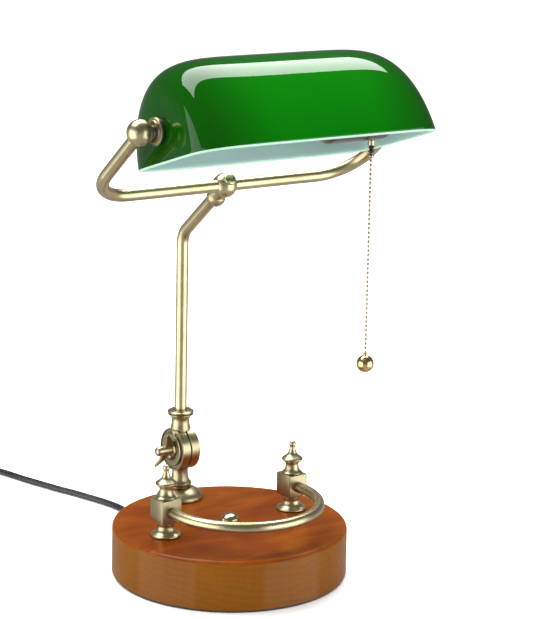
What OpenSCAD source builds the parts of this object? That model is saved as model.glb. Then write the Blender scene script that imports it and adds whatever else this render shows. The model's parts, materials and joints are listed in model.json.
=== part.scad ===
// Banker's desk lamp: a turned wooden base with a brass pen rail, a tilting stem,
// a forked tube cradle and a glass shade that tips on two pivots.
// Millimetres, +Z up. The origin is the centre of the base's underside, +X runs
// along the shade towards the lampholder and +Y points to the back.

/* [Base] */
// Diameter of the wooden base
base_d = 190; // [160:1:230]
// Height of the wood above its felt
base_h = 40; // [34:1:50]
// Thickness of the felt pad
felt_t = 1.5; // [1:0.5:3]
// Radius of the rounded top edge
base_edge_r = 3.5; // [1:0.5:6]
// Width of the wooden wall around the recess
base_wall = 10; // [8:0.5:20]
// Thickness of the wood over the recess
base_web = 14; // [10:0.5:20]
// Thickness of the steel bottom cover
cover_t = 2; // [1:0.5:4]
// Thickness of the iron weight
weight_t = 10; // [6:0.5:14]
// Diameter of the domed nut in the middle of the base
cap_nut_d = 17; // [14:0.5:22]
// Distance from the base's rim to the stem's axis
stem_inset = 21; // [20:0.5:40]

/* [Pen rail] */
// Distance between the two posts
post_spacing = 123; // [90:1:140]
// Diameter of a post's turned foot
foot_d = 22.5; // [20:0.5:28]
// Height of a post's turned foot
foot_h = 12.5; // [10:0.5:16]
// Width of a post's square block
block_w = 16.5; // [14:0.5:22]
// Height of a post's square block
block_h = 17; // [14:0.5:24]
// Diameter of the rail
rail_d = 9; // [6:0.5:11]
// Straight stretch of rail in front of each block
rail_stub = 9; // [4:0.5:20]

/* [Stem] */
// Outer diameter of the brass tubes
tube_d = 10; // [8:0.5:12]
// Wall of the brass tubes
tube_wall = 1; // [0.75:0.25:1.5]
// Height of the knuckle's axis over the wood
knuckle_rise = 43; // [40:0.5:56]
// Diameter of the knuckle's discs
knuckle_d = 32; // [28:0.5:38]
// Width of the whole knuckle
knuckle_w = 17; // [14:0.5:22]
// Height of the stem's bend over the knuckle's axis
bend_rise = 182; // [130:1:230]
// Radius of the stem's bend
bend_r = 18; // [12:1:30]
// Slope of the cradle above the horizontal
slope = 39.5; // [25:0.5:60]
// Length from the stem's bend to the middle ball
slant_len = 77; // [60:1:100]

/* [Cradle] */
// Distance between the two end balls
cradle_w = 250; // [245:1:300]
// Length of an arm from the bar to its end ball
arm_len = 95; // [80:1:120]
// Radius of the bend from the bar to an arm
arm_bend_r = 35.5; // [20:0.5:50]
// Diameter of the brass balls
ball_d = 20; // [16:0.5:26]

/* [Shade] */
// Depth of the glass across its rim
shade_depth = 114; // [96:1:130]
// Height of the glass above its rim
shade_h = 76.5; // [66:0.5:95]
// How far each end leans out from its pivot down to the rim
end_flare = 2.6; // [0:0.1:4]
// Thickness of the glass
glass_t = 3; // [2:0.25:4]
// How far the shade leans: its front rim is up by this angle
shade_lean = 17.5; // [0:0.5:30]
// Height of the pivots over the rim
pivot_rise = 24.5; // [22:0.5:32]
// Distance of the pivots behind the middle of the rim
pivot_back = 5.5; // [0:0.5:10]
// Gap between the middle of an end ball and the glass
glass_gap = 16.5; // [14:0.5:20]

/* [Lampholder] */
// Outer diameter of the lampholder
holder_d = 41; // [38:0.5:44]
// Length of the lampholder
holder_len = 61; // [58:0.5:72]
// Inner diameter of the socket's screw shell
socket_d = 26.6; // [26:0.1:27.4]
// Depth of the screw shell
socket_depth = 24; // [20:0.5:28]

/* [Pull chain] */
// Diameter of a bead
bead_d = 2.4; // [2:0.1:3.2]
// Distance from bead to bead
bead_pitch = 3.6; // [3:0.05:5]
// Number of beads
bead_count = 44; // [10:1:48]
// Diameter of the pull ball
pull_ball_d = 13; // [8:0.5:18]

/* [Cord] */
// Diameter of the cord
cord_d = 5.4; // [4:0.1:7]

/* [Hidden] */

$fn = 64;
// Clearance of a turning fit, on the radius
running = 0.08;
// Clearance of pieces that sit in each other, on the radius
seated = 0.05;
// Small overlap that makes a cut run clean through
over = 0.5;

brass = "#b39a5c";
dark_brass = "#7d683c";
wood = "#a4521c";
steel = "#9a9a9a";
iron = "#4a4a4a";
felt = "#22301f";
black = "#1c1a19";
brown_black = "#2b211c";
porcelain = "#e8e2d4";
green_glass = "#0d5a1c";
rubber = "#2a2a2a";

// ---- places worked out from the sizes ----
base_r = base_d / 2;
wood_top = felt_t + base_h;
recess_r = base_r - base_wall;
recess_top = wood_top - base_web;
cover_inset = 3;
cover_r = recess_r + cover_inset;
weight_r = recess_r - 24;
weight_z = felt_t + cover_t;
tie_r = 3;
cap_nut_h = 7.5;
stem_y = base_r - stem_inset;
post_x = post_spacing / 2;
stud_r = 2.5;
block_z = wood_top + foot_h;
finial_z = block_z + block_h;
rail_z = block_z + block_h / 2;
tube_r = tube_d / 2;
tube_bore_r = tube_r - tube_wall;
knuckle_z = wood_top + knuckle_rise;
knuckle_r = knuckle_d / 2;
bolt_r = 3;
washer_t = 0.8;
disc_clear = 0.6;
ball_r = ball_d / 2;
flange_r = 19;
flange_h = 9.5;
nipple_r = 5;
nipple_bore_r = 3.6;

// The cradle's own frame has its origin in the middle ball, X along the bar and
// Y along the arms.
tee_y = stem_y - slant_len * cos(slope);
tee_z = knuckle_z + bend_rise + slant_len * sin(slope);
pivot_y = tee_y - arm_len * cos(slope);
pivot_z = tee_z + arm_len * sin(slope);
arm_x = cradle_w / 2;
glass_x = arm_x - glass_gap;
glass_hole_r = 6.5;
seat_t = 2.4;
bush_x = glass_x + seat_t;
inner_face_x = glass_x - glass_t;
pad_t = 2.5;
pad_r = 9.4;
pad_clear = 0.15;
nut_x = inner_face_x - pad_t;
nut_t = 4;

holder_r = holder_d / 2;
holder_wall = 2;
holder_end_x = nut_x - nut_t - 0.5;
holder_mouth_x = holder_end_x - holder_len;
cap_len = 23;
seam_x = holder_end_x - cap_len;
core_t = 9;
contact_r = 6;
screw_end_x = seam_x - core_t / 2 + 1;
pull_x = holder_end_x - 10.2;
nozzle_len = 4.5;
rod_r = 1;
rod_top_z = pivot_z - holder_r + 6;
bell_z = pivot_z - holder_r - nozzle_len - 6;
bell_h = 5;
chain_z = bell_z - bell_h;

cord_r = cord_d / 2;
gland_z = felt_t + 12;
gland_out = 24;
coil_c = [-74, 362];
coil_inner_r = 23.4;
coil_outer_r = 35.2;
coil_z = 1.3;
coil_h = 22.2;
tie_w = 12;
tie_t = 1.1;
// Route of the cord from inside the base, out of the gland and back along the table
cord_route = [[0, 82, 13.5], [0, 90, 13.5], [0, 99, 13.5], [0, 108, 13.5], [0, 120, 13.2], [0, 132, 11], [1, 144, 7.5],
    [2, 156, 4.4], [3, 167, 3], [3, 179, 2.8], [1, 192, 2.8], [-2, 205, 2.8], [-6, 219, 2.8],
    [-10, 233, 2.8], [-15, 247, 2.8], [-19, 261, 2.8], [-23, 275, 2.8], [-27, 289, 2.8],
    [-30, 302, 2.8], [-33, 315, 2.8], [-37, 328, 3], [-40, 340, 3.6], [-41.8, 350, 4.2]];
// Route of the short end from the coil's top turn down to the plug
tail_route = [[-74, 399, 20], [-82, 402, 19], [-92, 403, 16.5], [-102, 400.5, 13.5], [-111, 395, 10.8],
    [-118.5, 387.5, 8.8], [-124, 378, 7.6], [-127, 367.5, 7.1], [-128, 357, 7], [-128, 350, 7]];
plug_c = [-128, 352, 7];

// ---- outlines and helpers ----
// Quarter of an ellipse that leaves upright and arrives level
function up_then_out(p, q, n = 7) = [for (i = [0:n]) let (t = 90 * i / n)
    [p[0] + (q[0] - p[0]) * (1 - cos(t)), p[1] + (q[1] - p[1]) * sin(t)]];
// Quarter of an ellipse that leaves level and arrives upright
function out_then_up(p, q, n = 7) = [for (i = [0:n]) let (t = 90 * i / n)
    [p[0] + (q[0] - p[0]) * sin(t), p[1] + (q[1] - p[1]) * (1 - cos(t))]];
function unit(v) = v / norm(v);

module turned(points) {
    rotate_extrude() polygon(points);
}

module along_x(x0, x1, r) {
    translate([x0, 0, 0]) rotate([0, 90, 0]) cylinder(h = x1 - x0, r = r);
}

// A turned shape whose height runs along +X
module turned_x(points) {
    rotate([0, 90, 0]) rotate_extrude() polygon(points);
}

module ring(h, outer, inner) {
    difference() {
        cylinder(h = h, r = outer);
        translate([0, 0, -over]) cylinder(h = h + 2 * over, r = inner);
    }
}

module in_cradle() {
    translate([0, tee_y, tee_z]) rotate([180 - slope, 0, 0]) children();
}

module at_pivot() {
    translate([0, pivot_y, pivot_z]) children();
}

module at_knuckle() {
    translate([0, stem_y, knuckle_z]) children();
}

module both_sides() {
    children();
    mirror([1, 0, 0]) children();
}

module hex_nut(across, h, hole_r) {
    difference() {
        cylinder(h = h, r = across / 2 / cos(30), $fn = 6);
        translate([0, 0, -over]) cylinder(h = h + 2 * over, r = hole_r);
    }
}

// A round tube swept along a route that never stands upright
module swept(route, r, sides = 10) {
    last = len(route) - 1;
    heading = [for (i = [0:last]) unit(route[min(i + 1, last)] - route[max(i - 1, 0)])];
    side = [for (h = heading) unit(cross(h, [0, 0, 1]))];
    rise = [for (i = [0:last]) cross(side[i], heading[i])];
    points = [for (i = [0:last], k = [0:sides - 1])
        route[i] + r * (cos(360 * k / sides) * side[i] + sin(360 * k / sides) * rise[i])];
    skin = [for (i = [0:last - 1], k = [0:sides - 1]) let (n = (k + 1) % sides)
        [i * sides + k, (i + 1) * sides + k, (i + 1) * sides + n, i * sides + n]];
    start = [for (k = [0:sides - 1]) k];
    end = [for (k = [sides - 1:-1:0]) last * sides + k];
    polyhedron(points, concat(skin, [start], [end]));
}

// ---- base ----
module felt_pad() {
    color(felt) cylinder(h = felt_t, r = base_r - 1.5);
}

module bottom_cover() {
    color(steel) translate([0, 0, felt_t]) cylinder(h = cover_t, r = cover_r - 0.3);
}

module base_wood() {
    edge = base_edge_r;
    color(wood) difference() {
        translate([0, 0, felt_t]) turned(concat(
            [[0, 0], [base_r - 1, 0], [base_r, 1]],
            [for (i = [0:8]) [base_r - edge + edge * cos(90 * i / 8), base_h - edge + edge * sin(90 * i / 8)]],
            [[0, base_h]]));
        translate([0, 0, felt_t - over]) cylinder(h = cover_t + over, r = cover_r);
        translate([0, 0, felt_t]) cylinder(h = recess_top - felt_t, r = recess_r);
        cylinder(h = wood_top + over, r = tie_r + seated);
        for (x = [-post_x, post_x]) translate([x, 0, 0]) cylinder(h = wood_top + over, r = stud_r + seated);
        translate([0, stem_y, 0]) cylinder(h = wood_top + over, r = nipple_r + seated);
        translate([0, recess_r - 5, gland_z]) rotate([-90, 0, 0])
            cylinder(h = base_wall + 10, r = cord_r + 2 + seated);
    }
}

module weight_disc() {
    color(iron) translate([0, 0, weight_z]) ring(weight_t, weight_r, tie_r + 4.5);
}

// Height of the washer face that the tie bolt's nut pulls against
tie_washer_z = weight_z + weight_t;

module tie_bolt() {
    color(steel) translate([0, 0, weight_z + 1]) cylinder(h = wood_top + 4.5 - weight_z - 1, r = tie_r);
}

module tie_nut() {
    color(steel) {
        translate([0, 0, weight_z + 2]) hex_nut(7.4, 5, tie_r + seated);
        translate([0, 0, tie_washer_z]) ring(recess_top - tie_washer_z, 12, tie_r + seated);
    }
}

module centre_cap_nut() {
    r = cap_nut_d / 2;
    color(brass) translate([0, 0, wood_top]) difference() {
        turned(concat([[0, 0], [r, 0], [r, 1]], up_then_out([r - 0.6, 1.8], [0, cap_nut_h], 9)));
        translate([0, 0, -over]) cylinder(h = 4.5 + over, r = tie_r + seated);
    }
}

// ---- posts and rail ----
module post_foot() {
    r = foot_d / 2;
    waist = 6.7;
    difference() {
        translate([0, 0, wood_top]) turned(concat(
            [[0, 0], [r, 0], [r, 1.2]],
            out_then_up([r - 0.6, 1.8], [waist, foot_h * 0.6]),
            up_then_out([waist, foot_h * 0.62], [8, foot_h - 1.2]),
            [[8, foot_h], [0, foot_h]]));
        cylinder(h = block_z + over, r = stud_r + seated);
    }
}

module post_block() {
    bevel = 0.6;
    half = block_w / 2;
    difference() {
        translate([-half, -half, block_z]) cube([block_w, block_w, block_h]);
        for (a = [0:90:270], z = [block_z, finial_z]) rotate([0, 0, a]) translate([half, 0, z])
            rotate([0, 45, 0]) cube([bevel * 1.4, block_w * 2, bevel * 1.4], center = true);
        translate([0, 0, block_z - over]) cylinder(h = block_h + 2 * over, r = stud_r + seated);
        translate([0, -half - over, rail_z]) rotate([-90, 0, 0])
            cylinder(h = 4.5 + over, r = rail_d / 2 + seated);
    }
}

module finial() {
    waist = 5.15;
    bulge = 8.35;
    neck = 1.8;
    tip_r = 2.7;
    difference() {
        translate([0, 0, finial_z]) rotate_extrude() union() {
            polygon(concat(
                [[0, 0], [7, 0], [7, 0.8]],
                out_then_up([6.8, 1.1], [waist, 4.8]),
                up_then_out([waist, 5.2], [6, 7.8]),
                [[bulge - 0.4, 10], [bulge, 10.4], [bulge - 0.2, 10.9], [6.7, 12]],
                out_then_up([6.5, 12.2], [neck, 20.6]),
                [[neck, 22], [0, 22]]));
            intersection() {
                translate([0, 23.4]) circle(r = tip_r, $fn = 32);
                translate([0, 20]) square([4, 8]);
            }
        }
        translate([0, 0, finial_z - over]) cylinder(h = 8 + over, r = stud_r + seated);
    }
}

module left_post_foot() { color(brass) translate([-post_x, 0, 0]) post_foot(); }
module left_post_block() { color(brass) translate([-post_x, 0, 0]) post_block(); }
module left_finial() { color(brass) translate([-post_x, 0, 0]) finial(); }
module right_post_foot() { color(brass) translate([post_x, 0, 0]) post_foot(); }
module right_post_block() { color(brass) translate([post_x, 0, 0]) post_block(); }
module right_finial() { color(brass) translate([post_x, 0, 0]) finial(); }

stud_low_z = recess_top - 7;

module post_studs() {
    color(steel) both_sides() translate([post_x, 0, stud_low_z])
        cylinder(h = finial_z + 7.5 - stud_low_z, r = stud_r);
}

module post_nuts() {
    color(steel) both_sides() translate([post_x, 0, recess_top - 5]) {
        hex_nut(8, 4, stud_r + seated);
        translate([0, 0, 4]) ring(1, 6.5, stud_r + seated);
    }
}

module guard_rail() {
    start_y = -block_w / 2 + 4.2;
    centre_y = -block_w / 2 - rail_stub;
    color(brass) translate([0, 0, rail_z]) {
        both_sides() translate([post_x, centre_y, 0]) rotate([-90, 0, 0])
            cylinder(h = start_y - centre_y, r = rail_d / 2);
        translate([0, centre_y, 0]) rotate([0, 0, 180]) rotate_extrude(angle = 180)
            translate([post_x, 0]) circle(r = rail_d / 2);
    }
}

// ---- stem foot and knuckle ----
module stem_flange() {
    color(brass) difference() {
        translate([0, stem_y, wood_top]) turned(concat(
            [[0, 0], [flange_r, 0], [flange_r, 1.6], [flange_r - 0.8, 2.4]],
            out_then_up([flange_r - 1.4, 2.7], [8.2, flange_h - 0.6]),
            [[8.2, flange_h], [0, flange_h]]));
        translate([0, stem_y, 0]) cylinder(h = wood_top + flange_h + over, r = nipple_r + seated);
    }
}

nipple_low_z = recess_top - 7;
nipple_top_z = wood_top + 18;

module stem_nipple() {
    color(steel) translate([0, stem_y, nipple_low_z])
        ring(nipple_top_z - nipple_low_z, nipple_r, nipple_bore_r);
}

module stem_nut() {
    color(steel) translate([0, stem_y, recess_top - 5]) {
        hex_nut(14, 4, nipple_r + seated);
        translate([0, 0, 4]) ring(1, 9, nipple_r + seated);
    }
}

half_gap = washer_t / 2;
half_w = knuckle_w / 2;

module lower_knuckle() {
    neck = 6.8;
    z0 = -knuckle_rise + flange_h;
    color(brass) at_knuckle() difference() {
        union() {
            translate([0, 0, z0]) turned(concat(
                [[0, 0], [7.8, 0], [7.8, 0.9]],
                up_then_out([8, 1], [9.7, 3.2], 4),
                out_then_up([9.5, 3.8], [neck, 14]),
                [[neck, 22], [0, 22]]));
            turned_x([[0, half_gap], [knuckle_r, half_gap], [knuckle_r, half_w - 0.6],
                [knuckle_r - 0.6, half_w], [11, half_w], [10.4, half_w - 1], [0, half_w - 1]]);
        }
        along_x(-half_w - 3, half_gap, knuckle_r + disc_clear);
        along_x(-over, half_w + over, bolt_r + seated);
        translate([0, 0, z0 - over]) cylinder(h = nipple_top_z - wood_top - flange_h + over + 0.2,
            r = nipple_r + seated);
        translate([0, 0, z0]) cylinder(h = 16, r = nipple_bore_r);
    }
}

module knuckle_washer() {
    color(dark_brass) at_knuckle() rotate([0, 90, 0]) translate([0, 0, -half_gap])
        ring(washer_t, 12, bolt_r + running);
}

bolt_end_x = -half_w - 13.5;

module knuckle_bolt() {
    color(dark_brass) at_knuckle() {
        along_x(bolt_end_x, half_w - 0.5, bolt_r);
        turned_x(concat([[0, half_w - 1], [7, half_w - 1], [7, half_w + 1]],
            up_then_out([6.8, half_w + 1.2], [0, half_w + 3.4], 6)));
    }
}

disc_face_x = -half_w - 1;
dish_x = -half_w + 1;

module upper_knuckle() {
    waist = 7.4;
    color(brass) at_knuckle() difference() {
        union() {
            translate([0, 0, 9]) turned(concat(
                [[0, 0], [waist, 0], [waist, 11]],
                up_then_out([waist, 12], [9.3, 19.4]),
                [[9.3, 20.1], [8.8, 20.4], [8.8, 20.9]],
                [for (i = [0:6]) let (t = -70 + 140 * i / 6) [9.6 + 1.3 * cos(t), 22.3 + 1.3 * sin(t)]],
                [[8, 24.4], [0, 24.4]]));
            turned_x([[0, disc_face_x], [12, disc_face_x], [12.3, disc_face_x + 0.4],
                [12.3, -half_w + 0.8], [14.9, -half_w + 0.8], [15.1, -half_w],
                [knuckle_r - 0.4, -half_w], [knuckle_r, -half_w + 0.5], [knuckle_r, -half_gap],
                [0, -half_gap]]);
        }
        along_x(-half_gap, half_w + 3, knuckle_r + disc_clear);
        turned_x([[0, disc_face_x - over], [9, disc_face_x - over], [9, disc_face_x],
            [7.4, dish_x], [0, dish_x]]);
        along_x(-half_w - over, over, bolt_r + running);
        translate([0, 0, 18]) cylinder(h = 20, r = tube_r + seated);
        translate([0, 0, knuckle_r]) cylinder(h = 10, r = nipple_bore_r);
    }
}

wing_turn = 23;

module wing_nut() {
    foot_x = -dish_x;
    tip_x = foot_x + 16.5;
    bore_end = -bolt_end_x + 0.5;
    color(brass) at_knuckle() rotate([wing_turn, 0, 0]) mirror([1, 0, 0]) difference() {
        union() {
            turned_x(concat([[0, foot_x], [6.2, foot_x], [6.2, foot_x + 1.4], [4.3, foot_x + 2.6],
                [4.1, tip_x - 2]], up_then_out([4, tip_x - 1.6], [0, tip_x], 5)));
            for (a = [0, 180]) rotate([a, 0, 0]) rotate([90, 0, 0])
                linear_extrude(height = 2.4, center = true) polygon(concat(
                    up_then_out([foot_x + 4, 2], [foot_x + 14.5, 15.5], 8),
                    [[foot_x + 16.2, 17], [foot_x + 17.4, 16.6]],
                    [for (i = [6:-1:0]) let (t = 90 * i / 6)
                        [foot_x + 12.5 + 4.8 * (1 - cos(t)), 2 + 14 * sin(t)]]));
        }
        along_x(foot_x - over, bore_end, bolt_r + running);
    }
}

// ---- leads and cord in the base ----
lead_r = cord_r;

module base_lead() {
    turn_r = 8;
    color(black) translate([0, stem_y, gland_z + turn_r]) {
        cylinder(h = wood_top + 15 - gland_z - turn_r, r = lead_r);
        translate([0, turn_r, 0]) rotate([0, 90, 0]) rotate([0, 0, -90])
            rotate_extrude(angle = 90) translate([turn_r, 0]) circle(r = lead_r);
    }
}

module cord_gland() {
    r = cord_r + 2;
    color(rubber) translate([0, base_r, gland_z]) rotate([-90, 0, 0]) difference() {
        turned([[0, -base_wall + 2], [r, -base_wall + 2], [r, 0.3], [r + 2, 0.3], [r + 2, 2.3],
            [r - 0.3, 3], [cord_r + 0.8, gland_out], [0, gland_out]]);
        translate([0, 0, -base_wall]) cylinder(h = base_wall + gland_out + over, r = cord_r + seated);
    }
}

module power_cord() {
    color(black) swept(cord_route, cord_r);
}

module cord_coil() {
    color(black) translate([coil_c[0], coil_c[1], coil_z]) ring(coil_h, coil_outer_r, coil_inner_r);
}

module cord_tie() {
    r0 = coil_inner_r - tie_t - 0.1;
    r1 = coil_outer_r + tie_t + 0.1;
    r_mid = (coil_inner_r + coil_outer_r) / 2;
    depth = r1 - r0;
    color(black) translate([coil_c[0] + r_mid, coil_c[1], 0]) difference() {
        translate([-depth / 2, -tie_w / 2, 0.1]) cube([depth, tie_w, coil_z + coil_h + tie_t]);
        translate([-r_mid, 0, coil_z - 0.1]) ring(coil_h + 0.2, coil_outer_r + 0.1, coil_inner_r - 0.1);
    }
}

module cord_tail() {
    color(black) swept(tail_route, cord_r);
}

module plug_body() {
    half_t = 6.8;
    half_wide = 17.2;
    body_l = 34;
    relief_l = 14;
    color(black) translate(plug_c) rotate([90, 0, 0]) difference() {
        union() {
            translate([0, 0, relief_l]) linear_extrude(height = body_l) intersection() {
                square([2 * half_wide, 2 * half_t], center = true);
                rotate([0, 0, 45]) square([31, 31], center = true);
            }
            rotate_extrude() polygon([[0, 0], [cord_r + 0.9, 0], [6.4, relief_l + 1], [0, relief_l + 1]]);
        }
        translate([0, 0, -over]) cylinder(h = 8, r = cord_r + seated);
        for (x = [-9.3, 9.3]) translate([x, 0, relief_l + body_l - 10]) cylinder(h = 11, r = 2 + seated);
    }
}

module plug_pins() {
    color(steel) translate(plug_c) rotate([90, 0, 0]) for (x = [-9.3, 9.3])
        translate([x, 0, 14 + 34 - 10]) turned([[0, 0], [2, 0], [2, 28], [1, 29], [0, 29]]);
}

// ---- stem and cradle ----
// The straight stretches run this far into the bend, which is fatter by the swell
bend_tuck = 0.5;
bend_swell = 0.02;

// The stem's line, drawn as a solid rod or as a bore by its radius
module stem_line(r, low, high) {
    turn = 90 - slope;
    cut = bend_r * tan(turn / 2);
    at_knuckle() {
        translate([0, 0, low]) cylinder(h = bend_rise - cut + bend_tuck - low, r = r);
        translate([0, -bend_r, bend_rise - cut]) rotate([90, 0, 90]) rotate_extrude(angle = turn)
            translate([bend_r, 0]) circle(r = r + bend_swell);
    }
    in_cradle() rotate([90, 0, 0]) translate([0, 0, high])
        cylinder(h = slant_len - cut + bend_tuck - high, r = r);
}

module stem_tube() {
    color(brass) difference() {
        stem_line(tube_r, 27.2, 6);
        stem_line(tube_bore_r, 27.2 - over, 6 - over);
    }
}

module arm_line(r, low, high) {
    translate([low, 0, 0]) rotate([0, 90, 0]) cylinder(h = arm_x - arm_bend_r - low, r = r);
    translate([arm_x - arm_bend_r, arm_bend_r, 0]) rotate([0, 0, -90]) rotate_extrude(angle = 90)
        translate([arm_bend_r, 0]) circle(r = r);
    translate([arm_x, arm_bend_r, 0]) rotate([-90, 0, 0]) cylinder(h = arm_len - arm_bend_r - high, r = r);
}

module arm_tube() {
    difference() {
        arm_line(tube_r, 5.6, 5.6);
        arm_line(tube_bore_r, 5.6 - over, 5.6 - over);
    }
}

module right_arm() { color(brass) in_cradle() arm_tube(); }
module left_arm() { color(brass) in_cradle() mirror([1, 0, 0]) arm_tube(); }

module tee_ball() {
    neck_r = tube_r + 2;
    neck_end = ball_r + 7;
    color(brass) in_cradle() difference() {
        union() {
            sphere(r = ball_r);
            rotate([90, 0, 0]) turned([[0, 0], [neck_r, 0], [neck_r, neck_end - 1],
                [neck_r - 0.8, neck_end], [0, neck_end]]);
        }
        along_x(-ball_r - over, ball_r + over, tube_r + seated);
        rotate([90, 0, 0]) cylinder(h = neck_end + over, r = tube_r + seated);
        rotate([-90, 0, 0]) cylinder(h = ball_r + over, r = 4 + seated);
        translate([0, -neck_end + 5, 0]) cylinder(h = neck_r + over, r = 1.75 + seated);
    }
}

module tee_plug() {
    color(brass) in_cradle() rotate([-90, 0, 0]) difference() {
        turned(concat([[0, 6], [4, 6], [4, 8.8], [5.2, 8.8], [5.2, ball_r - 0.2]],
            up_then_out([5.1, ball_r], [0, ball_r + 1.6], 6)));
        difference() {
            sphere(r = ball_r + seated);
            translate([0, 0, 0]) cylinder(h = ball_r + 2, r = 4);
        }
    }
}

module tee_lock_screw() {
    head_r = 4;
    foot = tube_r + 2.2;
    color(brass) in_cradle() translate([0, -ball_r - 2, 0]) turned(concat(
        [[0, tube_r + 0.2], [1.75, tube_r + 0.2], [1.75, foot], [head_r, foot], [head_r, foot + 1]],
        up_then_out([head_r - 0.1, foot + 1.2], [0, foot + 4.6], 7)));
}

// A tube or nipple screwed into an end ball stops this far from its middle
ball_socket = 5.4;
ball_hollow_r = 6.4;
// Slack of the lead where it turns inside a ball
lead_knot_r = cord_r * 1.45;

module end_ball() {
    in_cradle() translate([arm_x, arm_len, 0]) difference() {
        rotate([0, -90, 0]) rotate_extrude() difference() {
            intersection() {
                circle(r = ball_r);
                translate([0, -ball_r]) square([ball_r, 2 * ball_r]);
            }
            circle(r = ball_hollow_r);
            translate([-over, ball_socket]) square([nipple_r + seated + over, ball_r]);
        }
        rotate([90, 0, 0]) translate([0, 0, ball_socket]) cylinder(h = ball_r, r = tube_r + seated);
    }
}

module right_ball() { color(brass) end_ball(); }
module left_ball() { color(brass) mirror([1, 0, 0]) end_ball(); }

module seat_ring() {
    face = bush_x;
    difference() {
        turned_x([[nipple_r + seated, face], [10.1, face], [10.6, face + 0.5], [10.6, face + 1.8],
            [10.1, face + 2.4], [8.6, face + 2.6], [8.3, face + 4], [nipple_r + seated, face + 4]]);
        translate([arm_x, 0, 0]) sphere(r = ball_r + seated);
    }
}

module right_seat_ring() { color(brass) at_pivot() seat_ring(); }
module left_seat_ring() { color(brass) at_pivot() mirror([1, 0, 0]) seat_ring(); }

module nipple(inner_x) {
    translate([inner_x, 0, 0]) rotate([0, 90, 0]) ring(arm_x - 5.5 - inner_x, nipple_r, nipple_bore_r);
}

module right_nipple() { color(steel) at_pivot() nipple(holder_end_x - 3); }
module left_nipple() { color(steel) at_pivot() mirror([1, 0, 0]) nipple(nut_x - nut_t - 1); }

module shade_nuts() {
    color(brass) at_pivot() both_sides() translate([nut_x - nut_t, 0, 0]) rotate([0, 90, 0])
        hex_nut(15, nut_t, nipple_r + seated);
}

module stem_lead() {
    color(black) {
        stem_line(lead_r, 29, 0);
        in_cradle() {
            arm_line(lead_r, 0, 0);
            sphere(r = lead_knot_r);
        }
        at_pivot() {
            along_x(holder_end_x + 1, arm_x, lead_r);
            translate([arm_x, 0, 0]) sphere(r = lead_knot_r);
        }
    }
}

// ---- lampholder ----
module holder_cap() {
    r = holder_r;
    w = holder_wall;
    color(brown_black) at_pivot() difference() {
        turned_x(concat([[0, seam_x], [r, seam_x], [r, holder_end_x - 6]],
            [for (i = [1:6]) [r - 5 + 5 * cos(15 * i), holder_end_x - 5 + 5 * sin(15 * i)]],
            [[0, holder_end_x]]));
        turned_x([[0, seam_x - over], [r - w, seam_x - over], [r - w, holder_end_x - 5],
            [r - 5, holder_end_x - w], [0, holder_end_x - w]]);
        along_x(holder_end_x - 5, holder_end_x + over, nipple_r + seated);
        translate([pull_x, 0, -r - over]) cylinder(h = 8, r = 2.6 + seated);
    }
}

module holder_shell() {
    r = holder_r;
    w = holder_wall;
    color(brown_black) at_pivot() turned_x([[r - 3 - w, holder_mouth_x], [r - 3, holder_mouth_x],
        [r - 0.6, holder_mouth_x + 4], [r, holder_mouth_x + 5.5], [r, seam_x - 1.4], [r - 0.5, seam_x - 0.4],
        [r - w, seam_x - 0.4], [r - w, holder_mouth_x + 6], [r - 3 - w, holder_mouth_x + 1]]);
}

module holder_core() {
    r = holder_r - holder_wall - 0.1;
    color(porcelain) at_pivot() difference() {
        along_x(screw_end_x, screw_end_x + core_t, r);
        along_x(screw_end_x - over, screw_end_x + 1.5, socket_d / 2 + 0.9 + seated);
        along_x(screw_end_x, screw_end_x + 4, contact_r + seated);
    }
}

module screw_shell() {
    inner = socket_d / 2;
    color(brass) at_pivot() translate([screw_end_x + 1.5 - socket_depth, 0, 0]) rotate([0, 90, 0])
        ring(socket_depth, inner + 0.9, inner);
}

module centre_contact() {
    color(brass) at_pivot() turned_x([[0, screw_end_x + 1.8], [3.5, screw_end_x + 1.8],
        [3.5, screw_end_x + 2.8], [contact_r, screw_end_x + 3.2], [contact_r, screw_end_x + 4],
        [0, screw_end_x + 4]]);
}

module switch_block() {
    x0 = screw_end_x + core_t;
    x1 = holder_end_x - 6;
    color(porcelain) at_pivot() difference() {
        along_x(x0, x1, 13);
        translate([pull_x, 0, -14]) cylinder(h = 14.5, r = rod_r + 0.8);
    }
}

module switch_nozzle() {
    r = holder_r;
    color(brass) at_pivot() translate([pull_x, 0, 0]) turned([[rod_r + 0.4, -r - nozzle_len],
        [2.6, -r - nozzle_len], [2.9, -r - nozzle_len + 0.4], [2.9, -r - 0.4], [2.6, -r],
        [2.6, -r + holder_wall + 1], [rod_r + 0.4, -r + holder_wall + 1]]);
}

// ---- shade ----
// Point of a rounded square of the given power, at an angle
function round_square(a, power) = let (c = cos(a), s = sin(a),
    r = pow(pow(abs(c), power) + pow(abs(s), power), -1 / power)) [r * c, r * s];

glass_end_power = 6.5;
glass_arch_power = 2.2;
glass_lean = -0.12;
glass_cols = 40;
glass_rows = 30;

// One skin of the shade: rows of points from end to end, each an arch from rim to rim
function glass_point(half_l, half_d, high, i, k) =
    let (end = round_square(-90 + 180 * i / glass_cols, glass_end_power),
         arch = round_square(180 * k / glass_rows, glass_arch_power),
         w = high * arch[1] * end[0])
    [end[1] * (half_l + end_flare * (1 - w / pivot_rise)), -(half_d * arch[0] * end[0] + glass_lean * w), w];

function glass_skin(half_l, half_d, high) = concat(
    [[-half_l - end_flare, 0, 0]],
    [for (i = [1:glass_cols - 1], k = [0:glass_rows]) glass_point(half_l, half_d, high, i, k)],
    [[half_l + end_flare, 0, 0]]);

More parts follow.
